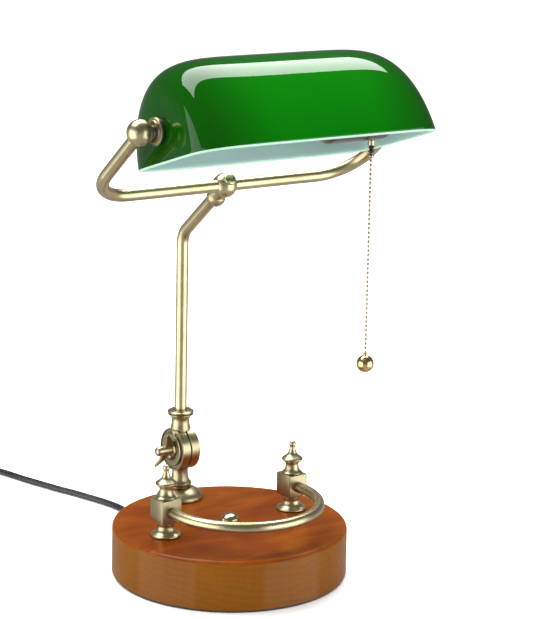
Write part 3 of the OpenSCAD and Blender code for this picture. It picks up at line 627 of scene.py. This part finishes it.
def outline(*runs):
    """Points of an outline. Each run is drawn as a smooth line, and runs meet in corners."""
    points = []
    for run in runs:
        if len(run) < 3:
            points += run
            continue
        padded = [run[0]] + list(run) + [run[-1]]
        for a, b, c, d in zip(padded, padded[1:], padded[2:], padded[3:]):
            for n in range(STEPS_PER_POINT):
                t = n / STEPS_PER_POINT
                points.append(tuple(0.5 * (2 * b[i] + (c[i] - a[i]) * t
                                           + (2 * a[i] - 5 * b[i] + 4 * c[i] - d[i]) * t * t
                                           + (3 * b[i] - a[i] - 3 * c[i] + d[i]) * t ** 3)
                                    for i in (0, 1)))
        points.append(run[-1])
    kept = []
    for point in points:
        if not kept or math.dist(point, kept[-1]) > SHORTEST_STEP:
            kept.append((max(point[0], 0.0), point[1]))
    return kept


def arc(radius, centre, start, end, steps):
    """Points of an arc on an outline, between two angles in degrees from its widest place."""
    points = []
    for n in range(steps + 1):
        angle = math.radians(start + (end - start) * n / steps)
        points.append((radius * math.cos(angle), centre + radius * math.sin(angle)))
    return points


def turned_mesh(name, points, sides=96):
    """A lathe shape in millimetres, turned about its own Z, as a closed mesh."""
    shape = bmesh.new()
    rings = []
    for r, z in points:
        if r < NEAR_AXIS:
            rings.append([shape.verts.new((0, 0, z))] * sides)
        else:
            rings.append([shape.verts.new((r * math.cos(math.tau * n / sides),
                                           r * math.sin(math.tau * n / sides), z))
                          for n in range(sides)])
    for low, high in zip(rings, rings[1:]):
        for n in range(sides):
            corners = []
            for vert in (low[n], low[(n + 1) % sides], high[(n + 1) % sides], high[n]):
                if vert not in corners:
                    corners.append(vert)
            if len(corners) > 2:
                shape.faces.new(corners)
    bmesh.ops.recalc_face_normals(shape, faces=shape.faces)
    mesh = bpy.data.meshes.new(name)
    shape.to_mesh(mesh)
    shape.free()
    return mesh


def placed(mesh, place, axis="Z"):
    """Turns a mesh from its own Z to the axis, and puts it at its place, in metres."""
    turn = {"Z": Matrix.Identity(4), "X": Matrix.Rotation(math.pi / 2, 4, "Y"),
            "-X": Matrix.Rotation(-math.pi / 2, 4, "Y")}[axis]
    mesh.transform(Matrix.Translation(Vector(place) * MM) @ turn @ Matrix.Scale(MM, 4))
    return mesh


def add_piece(mesh, material, body, slot, *nodes):
    """Links a finished mesh as a piece that rides on a body and stands for CAD nodes."""
    piece = bpy.data.objects.new(mesh.name, mesh)
    bpy.context.scene.collection.objects.link(piece)
    mesh.materials.clear()
    mesh.materials.append(material)
    mesh.shade_smooth()
    mesh.set_sharp_from_angle(angle=math.radians(38))
    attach(piece, body)
    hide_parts(*nodes)
    return piece


def combined(piece_mesh, other_mesh, how):
    """Adds, cuts or keeps the shared part of two closed meshes."""
    scene = bpy.context.scene.collection.objects
    first = bpy.data.objects.new("first", piece_mesh)
    second = bpy.data.objects.new("second", other_mesh)
    scene.link(first)
    scene.link(second)
    step = first.modifiers.new("step", "BOOLEAN")
    step.object, step.operation, step.solver = second, how, "EXACT"
    bpy.context.view_layer.update()
    made = bpy.data.meshes.new_from_object(
        first.evaluated_get(bpy.context.evaluated_depsgraph_get()))
    made.name = piece_mesh.name
    bpy.data.objects.remove(first)
    bpy.data.objects.remove(second)
    return made


def rod(radius, low, high, place, axis="Z"):
    """A plain round rod along the axis, to cut with."""
    return placed(turned_mesh("rod", [(0, low), (radius, low), (radius, high), (0, high)]),
                  place, axis)


def block_mesh(name, half, low, high, place, chamfer):
    """A square upright block with softened edges."""
    shape = bmesh.new()
    bmesh.ops.create_cube(shape, size=1.0)
    for vert in shape.verts:
        vert.co = (vert.co.x * 2 * half, vert.co.y * 2 * half,
                   low + (vert.co.z + 0.5) * (high - low))
    bmesh.ops.bevel(shape, geom=list(shape.edges), offset=chamfer, segments=3, affect="EDGES",
                    profile=0.5)
    mesh = bpy.data.meshes.new(name)
    shape.to_mesh(mesh)
    shape.free()
    return placed(mesh, place)


# Outlines in millimetres: distance from the lathe's axis, and height along it
FOOT = outline([(0, 0), (11.6, 0)], [(12.2, 0.5), (12.3, 1.2), (11.9, 2.0)],
               [(11.9, 2.0), (9.2, 3.4), (7.4, 5.6), (6.8, 8.0), (7.2, 10.2), (8.0, 11.4)],
               [(8.6, 11.6), (8.6, 12.5), (0, 12.5)])
FINIAL = outline([(0, 0), (7.9, 0)], [(8.3, 0.3), (8.35, 0.8), (8.0, 1.3)],
                 [(7.7, 1.4), (6.6, 2.6), (5.7, 4.6), (5.4, 6.8), (5.6, 8.6), (6.3, 9.7)],
                 [(6.9, 9.9), (7.9, 10.8), (8.6, 11.7), (8.75, 12.4), (8.3, 13.1)],
                 [(7.9, 13.5), (6.2, 14.7), (4.3, 16.3), (3.2, 18.4), (2.5, 20.6), (2.1, 22.4)],
                 [(2.1, 22.4), (2.6, 23.2), (2.85, 24.6), (2.5, 26.1), (1.5, 27.1), (0, 27.4)])
BELL = outline([(0, 0), (19.0, 0)], [(19.4, 0.4), (19.4, 1.8), (18.5, 4.0), (16.3, 6.2),
                                     (13.2, 8.1), (10.4, 9.1), (8.8, 9.5)], [(0, 9.5)])
LOWER_NECK = outline([(0, -33.5), (8.2, -33.5)], [(8.2, -32.0), (8.8, -31.4)],
                     [(9.2, -31.2), (9.6, -30.4), (9.6, -29.4), (9.1, -28.6)],
                     [(8.8, -28.5), (7.8, -26.8), (7.0, -23.6), (6.7, -20.0), (7.0, -16.0),
                      (7.9, -12.0)], [(7.9, -9.0), (0, -9.0)])
UPPER_NECK = outline([(0, 9), (8.4, 9)], [(8.4, 14.5), (8.3, 18.0), (7.7, 21.0), (7.5, 24.0),
                                          (7.9, 26.6), (9.0, 28.4)],
                     [(9.9, 28.8), (10.6, 29.3), (10.6, 29.9), (9.9, 30.3)],
                     [(9.8, 30.4), (10.7, 30.8), (11.1, 31.6), (10.7, 32.4), (9.6, 32.9)],
                     [(8.6, 33.0), (8.4, 33.6), (0, 33.6)])
FRONT_DISC = [(0, 0.45), (17.3, 0.45), (17.8, 0.9), (17.8, 8.0), (17.3, 8.5),
              (16.5, 8.5), (16.2, 7.6), (13.9, 7.6), (13.8, 9.1), (13.3, 9.5),
              (9.0, 9.5), (8.5, 9.0), (7.4, 7.5), (0, 7.5)]
BACK_DISC = [(0, 0.45), (17.3, 0.45), (17.8, 0.9), (17.8, 8.0), (17.3, 8.5),
             (11.6, 8.5), (11.0, 7.6), (0, 7.6)]
HUB = outline([(0, 0), (6.2, 0)], [(6.2, 1.4), (4.5, 2.4)], [(4.2, 3.0), (4.1, 13.2)],
              [(4.1, 13.2), (3.9, 14.6), (3.1, 15.8), (1.6, 16.5), (0, 16.6)])
# Outline of a wing in millimetres: height along the nut's axis, and distance from it
WING = [(3.0, 1.5), (3.3, 6.0), (4.4, 10.2), (6.4, 14.2), (9.2, 17.6), (10.6, 18.6),
        (11.7, 18.3), (11.3, 14.8), (9.9, 10.8), (9.2, 7.4), (9.5, 4.8), (11.0, 1.5)]


# The wings thin out by this share at their reach, and stand turned about the bolt
WING_THICKNESS, WING_REACH, WING_THINNING = 2.4, 19, 0.35
WING_TURN = math.radians(-31)
# The posts, from the top of the wood
FOOT_HEIGHT, BLOCK_TOP = 12.5, 31.0
BLOCK_HALF, BLOCK_CHAMFER = 9.1, 0.7
# Each neck is cut clear of the other half's disc, and each disc starts this far from the middle
DISC_CLEARANCE, DISC_GAP, NECK_REACH = 18.3, 0.45, 12
# The round cup on the stem's slanting run: how far down the run, and how far below it
SLANT_LENGTH, CUP_RADIUS, CUP_DOWN, CUP_BELOW = 77, 7.7, 11.6, 0.8
# The pull ball: how far its middle is below its top, and where its top is
PULL_BALL_RADIUS, PULL_BALL_DROP = 7.1, 8.3
PULL_BALL_TOP = (88.3, -58.719, 182.9)


def wing_nut_mesh(place):
    """Hub with two thinning wings, its hub along -X, as it is tightened."""
    hub = turned_mesh("butterfly_nut", HUB)
    for side in (1, -1):
        shape = bmesh.new()
        line = [(x, r) for r, x in outline([(r, x) for x, r in WING])]
        flat = shape.faces.new([shape.verts.new((side * r, -WING_THICKNESS / 2, x))
                                for x, r in line])
        grown = bmesh.ops.extrude_face_region(shape, geom=[flat])
        bmesh.ops.translate(shape, vec=(0, WING_THICKNESS, 0),
                            verts=[v for v in grown["geom"] if isinstance(v, bmesh.types.BMVert)])
        for vert in shape.verts:
            vert.co.y *= 1.0 - WING_THINNING * min(1.0, abs(vert.co.x) / WING_REACH)
        bmesh.ops.recalc_face_normals(shape, faces=shape.faces)
        wing = bpy.data.meshes.new("wing")
        shape.to_mesh(wing)
        shape.free()
        hub = combined(hub, wing, "UNION")
    hub.name = "butterfly_nut"
    hub.transform(Matrix.Rotation(WING_TURN, 4, "Z"))
    return placed(hub, place, "-X")


def make_posts(turned, blocks):
    """The pen rail's two posts: foot, block and spire."""
    low = TOP_OF_WOOD / MM
    for side, x in (("left", -POST_X), ("right", POST_X)):
        foot = placed(turned_mesh(side + "_turned_foot", FOOT), (x, 0, low))
        add_piece(foot, turned, "base", "turned_brass", side + "_post_foot")
        block = block_mesh(side + "_square_block", BLOCK_HALF, low + FOOT_HEIGHT,
                           low + BLOCK_TOP, (x, 0, 0), BLOCK_CHAMFER)
        add_piece(block, blocks, "base", "turned_brass", side + "_post_block")
        tip = placed(turned_mesh(side + "_spire", FINIAL), (x, 0, low + BLOCK_TOP))
        add_piece(tip, turned, "base", "turned_brass", side + "_finial")


def knuckle_half(name, neck, disc, low, high, axis):
    """A neck, cut clear of the other half, with its disc."""
    cut = combined(placed(turned_mesh(name, neck), KNUCKLE),
                   rod(DISC_CLEARANCE, low, high, KNUCKLE, "X"), "DIFFERENCE")
    half = combined(cut, placed(turned_mesh("disc", disc), KNUCKLE, axis), "UNION")
    half.name = name
    return half


class LAMP_OT_turning(bpy.types.Operator):
    """Turn the posts, the stem's foot, the knuckle, the wing nut and the pull ball"""

    bl_idname = "lamp.turning"
    bl_label = "Turned brass"

    def execute(self, context):
        colours = context.scene.lamp_colours
        turned = brass_finish("lathe_brass", colours, (40, 40, 1500), tone=0.98, rough=0.29,
                              painted_crease_shade=0.9)
        blocks = brass_finish("block_brass", colours, (900, 900, 30), tone=0.72, rough=0.33,
                              painted_crease_shade=0.5)
        discs = brass_finish("disc_brass", colours, (1400, 60, 60), tone=0.85, rough=0.3,
                             painted_crease_shade=0.95, brush=0.2)
        make_posts(turned, blocks)
        bell = placed(turned_mesh("stem_bell", BELL), (KNUCKLE.x, KNUCKLE.y, TOP_OF_WOOD / MM))
        add_piece(bell, turned, "base", "turned_brass", "stem_flange")

        lower = knuckle_half("knuckle_base", LOWER_NECK, BACK_DISC, -NECK_REACH, DISC_GAP, "X")
        add_piece(lower, discs, "base", "turned_brass", "lower_knuckle")
        upper = knuckle_half("knuckle_head", UPPER_NECK, FRONT_DISC, -DISC_GAP, NECK_REACH, "-X")
        add_piece(upper, discs, "stem", "turned_brass", "upper_knuckle")

        tee = middle("tee_ball")
        run = (KNUCKLE.y - tee.y) / SLANT_LENGTH
        fall = math.sqrt(1 - run * run)
        cup = placed(turned_mesh("tee_cup", outline(arc(CUP_RADIUS, 0, -90, 90, 20))),
                     (0, tee.y + CUP_DOWN * run, tee.z - CUP_DOWN * fall - CUP_BELOW))
        add_piece(cup, turned, "stem", "turned_brass", "tee_lock_screw")
        nut = wing_nut_mesh((WING_NUT_SEAT, KNUCKLE.y, KNUCKLE.z))
        add_piece(nut, discs, "wing_nut", "turned_brass", "wing_nut")

        ball = placed(turned_mesh("chain_ball", outline(
            [(0, 0), (1.7, 0), (2.0, -0.9), (2.1, -1.5)],
            arc(PULL_BALL_RADIUS, -PULL_BALL_DROP, 73, -90, 40))), PULL_BALL_TOP)
        gold = Finish("polished_brass", Metallic=1.0)
        cloud = gold.noise(gold.coords((90, 90, 500)), 1, 3)
        gold.set(Base_Color=gold.ramp(cloud, (0.3, (0.64, 0.45, 0.19)), (0.7, (0.76, 0.58, 0.29))))
        gold.set(Roughness=gold.span(cloud, 0.3, 0.7, 0.10, 0.17))
        add_piece(ball, gold.material, "chain", "brass", "pull_ball")
        return {"FINISHED"}


# ---- shade ----
SHADE_LEAN = math.radians(17.5)
# Millimetres: the glass's outside, and its pivots' place over the rim and behind its middle
HALF_LENGTH, HALF_DEPTH, SHADE_HEIGHT = 108.5, 57, 76.5
PIVOT_RISE, PIVOT_BEHIND = 24.5, 5.5
# How square the ends and the arch are, how far the top leans and how the ends flare
END_POWER, ARCH_POWER, ARCH_LEAN, END_FLARE = 6.5, 2.2, -0.12, 2.6
# Metres: the pivots' holes, and a drill that goes through both ends
HOLE_RADIUS, DRILL_LENGTH = 0.0065, 0.3


def round_square(angle, power):
    """Point at an angle of a unit circle that is drawn out towards a square."""
    c, s = math.cos(angle), math.sin(angle)
    r = (abs(c) ** power + abs(s) ** power) ** (-1 / power)
    return r * c, r * s


def shade_point(half_l, half_d, high, lip, i, columns, k, rows):
    """Point of one skin of the shade, in its own frame: millimetres over its rim."""
    end = round_square(math.radians(-90 + 180 * i / columns), END_POWER)
    arch = round_square(math.radians(180 * k / rows), ARCH_POWER)
    w = high * arch[1] * end[0]
    x = end[1] * (half_l + END_FLARE * (1 - w / PIVOT_RISE))
    y = -(half_d * arch[0] * end[0] + ARCH_LEAN * w)
    z = lip + w * (high - lip) / high
    return x, y, z


def place_on_pivots(point):
    """From the shade's own frame to the lamp's, in metres."""
    x, y, z = point
    y, z = y - PIVOT_BEHIND, z - PIVOT_RISE
    c, s = math.cos(-SHADE_LEAN), math.sin(-SHADE_LEAN)
    return PIVOT + Vector((x, y * c - z * s, y * s + z * c)) * MM


def shade_mesh(sizes):
    """Outer skin, lining and a rounded lip between them. Materials 0, 1 and 2."""
    columns, rows = sizes.glass_columns, sizes.glass_rows
    wall = sizes.glass_wall / MM
    lip = wall / 2
    shape = bmesh.new()

    def skin(half_l, half_d, high):
        grid = []
        for i in range(columns + 1):
            if i in (0, columns):
                point = shade_point(half_l, half_d, high, lip, i, columns, 0, rows)
                grid.append([shape.verts.new(point)] * (rows + 1))
            else:
                grid.append([shape.verts.new(shade_point(half_l, half_d, high, lip, i, columns,
                                                         k, rows)) for k in range(rows + 1)])
        return grid

    def panel(corners, finish):
        ring = []
        for corner in corners:
            if corner not in ring:
                ring.append(corner)
        if len(ring) > 2:
            face = shape.faces.new(ring)
            face.material_index = finish
            face.smooth = True

    outer = skin(HALF_LENGTH, HALF_DEPTH, SHADE_HEIGHT)
    inner = skin(HALF_LENGTH - wall, HALF_DEPTH - wall, SHADE_HEIGHT - wall)
    for i in range(columns):
        for k in range(rows):
            panel((outer[i][k], outer[i + 1][k], outer[i + 1][k + 1], outer[i][k + 1]), 0)
            panel((inner[i][k], inner[i][k + 1], inner[i + 1][k + 1], inner[i + 1][k]), 1)
    steps = 6
    for edge in (0, rows):
        before = None
        for i in range(columns + 1):
            a, b = outer[i][edge], inner[i][edge]
            middle, half = (a.co + b.co) / 2, (a.co - b.co) / 2
            arc = [a]
            for n in range(1, steps):
                turn = math.pi * n / steps
                arc.append(shape.verts.new(middle + half * math.cos(turn)
                                           - Vector((0, 0, lip * math.sin(turn)))))
            arc.append(b)
            if before:
                for n in range(steps):
                    panel((before[n], arc[n], arc[n + 1], before[n + 1]), 2)
            before = arc
    bmesh.ops.remove_doubles(shape, verts=shape.verts, dist=0.002)
    bmesh.ops.recalc_face_normals(shape, faces=shape.faces)
    for vert in shape.verts:
        vert.co = place_on_pivots(vert.co)
    mesh = bpy.data.meshes.new("glass_shade")
    shape.to_mesh(mesh)
    shape.free()
    return mesh


def glass_finish(colours):
    """Green glass that darkens at a slant, with painted shade towards its rim and towards its
    ends.
    """
    painted_shade_full_height, painted_shade_free_height = 0.335, 0.402  # heights in metres
    end_clear, end_dark = 0.035, 0.112  # distances from the lamp's middle in metres
    f = Finish("emerald_glass", Roughness=0.02, Specular_IOR_Level=0.3, IOR=1.5)
    slant = f.add("LayerWeight").outputs["Facing"]
    clouds = f.noise(f.coords(), 9, 2)
    colour = f.blend(f.span(slant, 0.3, 0.95, smooth=True), colours.glass, colours.glass_deep)
    colour = f.blend(f.span(clouds, 0.35, 0.7, 0, 0.3), colour,
                     [c * 0.75 for c in colours.glass])
    place = f.add("SeparateXYZ", f.coords())
    # Painted shade: darker towards the rim, low on the glass
    painted_shade_near_rim = f.span(place.outputs["Z"], painted_shade_full_height, painted_shade_free_height, 0.5, 0.0, True)
    colour = f.blend(painted_shade_near_rim, colour, colours.painted_shade_low_glass)
    # Painted shade: darker towards both ends
    along = f.sums("ABSOLUTE", place.outputs["X"])
    painted_shade_near_end = f.span(along, end_clear, end_dark, 0.0, 0.72, True)
    f.set(Base_Color=f.blend(painted_shade_near_end, colour, colours.painted_shade_end_glass))
    f.set(Normal=f.bump(f.noise(f.coords(), 22, 1), 0.04, 0.0008))
    return f.material


class LAMP_OT_shade(bpy.types.Operator):
    """Blow the glass shade, green outside and opal inside, and finish its rubber pads"""

    bl_idname = "lamp.shade"
    bl_label = "Glass shade"

    def execute(self, context):
        sizes, colours = context.scene.lamp_sizes, context.scene.lamp_colours
        mesh = shade_mesh(sizes)
        shade = bpy.data.objects.new("glass_shade", mesh)
        context.scene.collection.objects.link(shade)
        green = glass_finish(colours)
        opal = Finish("opal_lining", Roughness=0.14)
        milk = opal.noise(opal.coords(), 40, 3)
        # Partly painted shade: the lining's colour is darkened to the shade it shows inside
        opal.set(Base_Color=opal.blend(milk, colours.opal, [c * 0.92 for c in colours.opal]))
        opal.set(Normal=opal.bump(milk, 0.03, 0.0005))
        lip = speckled_finish("ground_lip", 900, (0.25, 0.46, 0.33), (0.42, 0.62, 0.50),
                              strength=0.2, depth=0.0002, Roughness=0.25)
        for material in (green, opal.material, lip):
            mesh.materials.append(material)

        drill = bmesh.new()
        bmesh.ops.create_cone(drill, cap_ends=True, segments=64, radius1=HOLE_RADIUS,
                              radius2=HOLE_RADIUS, depth=DRILL_LENGTH,
                              matrix=Matrix.Translation(PIVOT)
                              @ Matrix.Rotation(math.pi / 2, 4, "Y"))
        bit = bpy.data.meshes.new("drill")
        drill.to_mesh(bit)
        drill.free()
        for face in bit.polygons:
            face.use_smooth = True
        bit.materials.append(lip)
        cutter = bpy.data.objects.new("drill", bit)
        context.scene.collection.objects.link(cutter)
        cut = shade.modifiers.new("holes", "BOOLEAN")
        cut.object, cut.operation, cut.solver = cutter, "DIFFERENCE", "EXACT"
        cut.material_mode = "TRANSFER"
        context.view_layer.update()
        drilled = bpy.data.meshes.new_from_object(
            shade.evaluated_get(context.evaluated_depsgraph_get()))
        shade.modifiers.clear()
        shade.data = drilled
        bpy.data.objects.remove(cutter)
        drilled.set_sharp_from_angle(angle=math.radians(40))
        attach(shade, "shade")
        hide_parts("shade_glass")

        pads = speckled_finish("rubber_pads", 900, 0.008, 0.02, strength=0.2, depth=0.0002,
                               Roughness=0.55)
        paint(pads, "shade_bushes", "shade_washers")
        return {"FINISHED"}


# ---- lampholder and chain ----
class LAMP_OT_holder(bpy.types.Operator):
    """Finish the lampholder inside the shade"""

    bl_idname = "lamp.holder"
    bl_label = "Lampholder"

    def execute(self, context):
        colours = context.scene.lamp_colours
        f = Finish("bakelite", Roughness=0.3, Coat_Weight=0.3, Coat_Roughness=0.15)
        swirl = f.noise(f.coords((60, 200, 200)), 1, 4, 0.6, 1.5)
        f.set(Base_Color=f.blend(f.span(swirl, 0.35, 0.7), colours.bakelite,
                                 (0.045, 0.022, 0.014)))
        f.set(Roughness=f.span(swirl, 0.3, 0.7, 0.26, 0.38))
        f.set(Normal=f.bump(swirl, 0.05, 0.0002, f.soft_edges(0.0004)))
        paint(f.material, "holder_cap", "holder_shell")

        china = Finish("porcelain", Roughness=0.25, Coat_Weight=0.5)
        specks = china.noise(china.coords(), 600, 4, 0.7)
        china.set(Base_Color=china.ramp(specks, (0.25, (0.55, 0.50, 0.40)),
                                        (0.5, (0.76, 0.72, 0.62))))
        paint(china.material, "holder_core", "switch_block")

        shell = brass_finish("pressed_brass", colours, (700, 100, 100), rough=0.28, painted_crease_shade=0.3)
        paint(shell, "screw_shell", "centre_contact")
        nozzle = brass_finish("nozzle_brass", colours, (60, 60, 1200), tone=0.95, rough=0.2,
                              painted_crease_shade=0.4)
        paint(nozzle, "switch_nozzle", "chain_bell")
        return {"FINISHED"}


class LAMP_OT_chain(bpy.types.Operator):
    """Finish the pull rod and the bead chain"""

    bl_idname = "lamp.chain"
    bl_label = "Pull chain"

    def execute(self, context):
        beads = Finish("bead_brass", Metallic=1.0)
        tarnish = beads.noise(beads.coords(), 420, 3)
        beads.set(Base_Color=beads.ramp(tarnish, (0.3, (0.46, 0.37, 0.22)),
                                        (0.7, (0.66, 0.55, 0.36))))
        beads.set(Roughness=beads.span(tarnish, 0.3, 0.7, 0.38, 0.5))
        paint(beads.material, "bead_chain")

        paint(speckled_finish("black_rod", 800, 0.006, 0.016, Roughness=0.35), "pull_rod")
        return {"FINISHED"}


class LAMP_PT_panel(bpy.types.Panel):
    """Lists the lamp's pieces in the order in which they are built"""

    bl_label = "Desk Lamp"
    bl_space_type = "VIEW_3D"
    bl_region_type = "UI"
    bl_category = "Desk Lamp"

    def draw(self, context):
        layout = self.layout
        for operator in BUILD_ORDER:
            layout.operator(operator.bl_idname)
        for group in (context.scene.lamp_sizes, context.scene.lamp_colours,
                      context.scene.lamp_studio):
            box = layout.box()
            for key in group.bl_rna.properties.keys():
                if key not in ("rna_type", "name"):
                    box.prop(group, key)


GROUPS = {"lamp_sizes": LampSizes, "lamp_colours": LampColours, "lamp_studio": StudioSettings}
BUILD_ORDER = (LAMP_OT_stage, LAMP_OT_cord, LAMP_OT_base, LAMP_OT_brass, LAMP_OT_turning,
               LAMP_OT_shade, LAMP_OT_holder, LAMP_OT_chain)


def register():
    for group in GROUPS.values():
        bpy.utils.register_class(group)
    for operator in BUILD_ORDER:
        bpy.utils.register_class(operator)
    bpy.utils.register_class(LAMP_PT_panel)
    for name, group in GROUPS.items():
        setattr(bpy.types.Scene, name, PointerProperty(type=group))


def unregister():
    for name in GROUPS:
        delattr(bpy.types.Scene, name)
    bpy.utils.unregister_class(LAMP_PT_panel)
    for operator in reversed(BUILD_ORDER):
        bpy.utils.unregister_class(operator)
    for group in reversed(list(GROUPS.values())):
        bpy.utils.unregister_class(group)


def main():
    """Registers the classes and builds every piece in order."""
    register()
    for operator in BUILD_ORDER:
        group, action = operator.bl_idname.split(".")
        getattr(getattr(bpy.ops, group), action)()


if __name__ == "__main__":
    main()
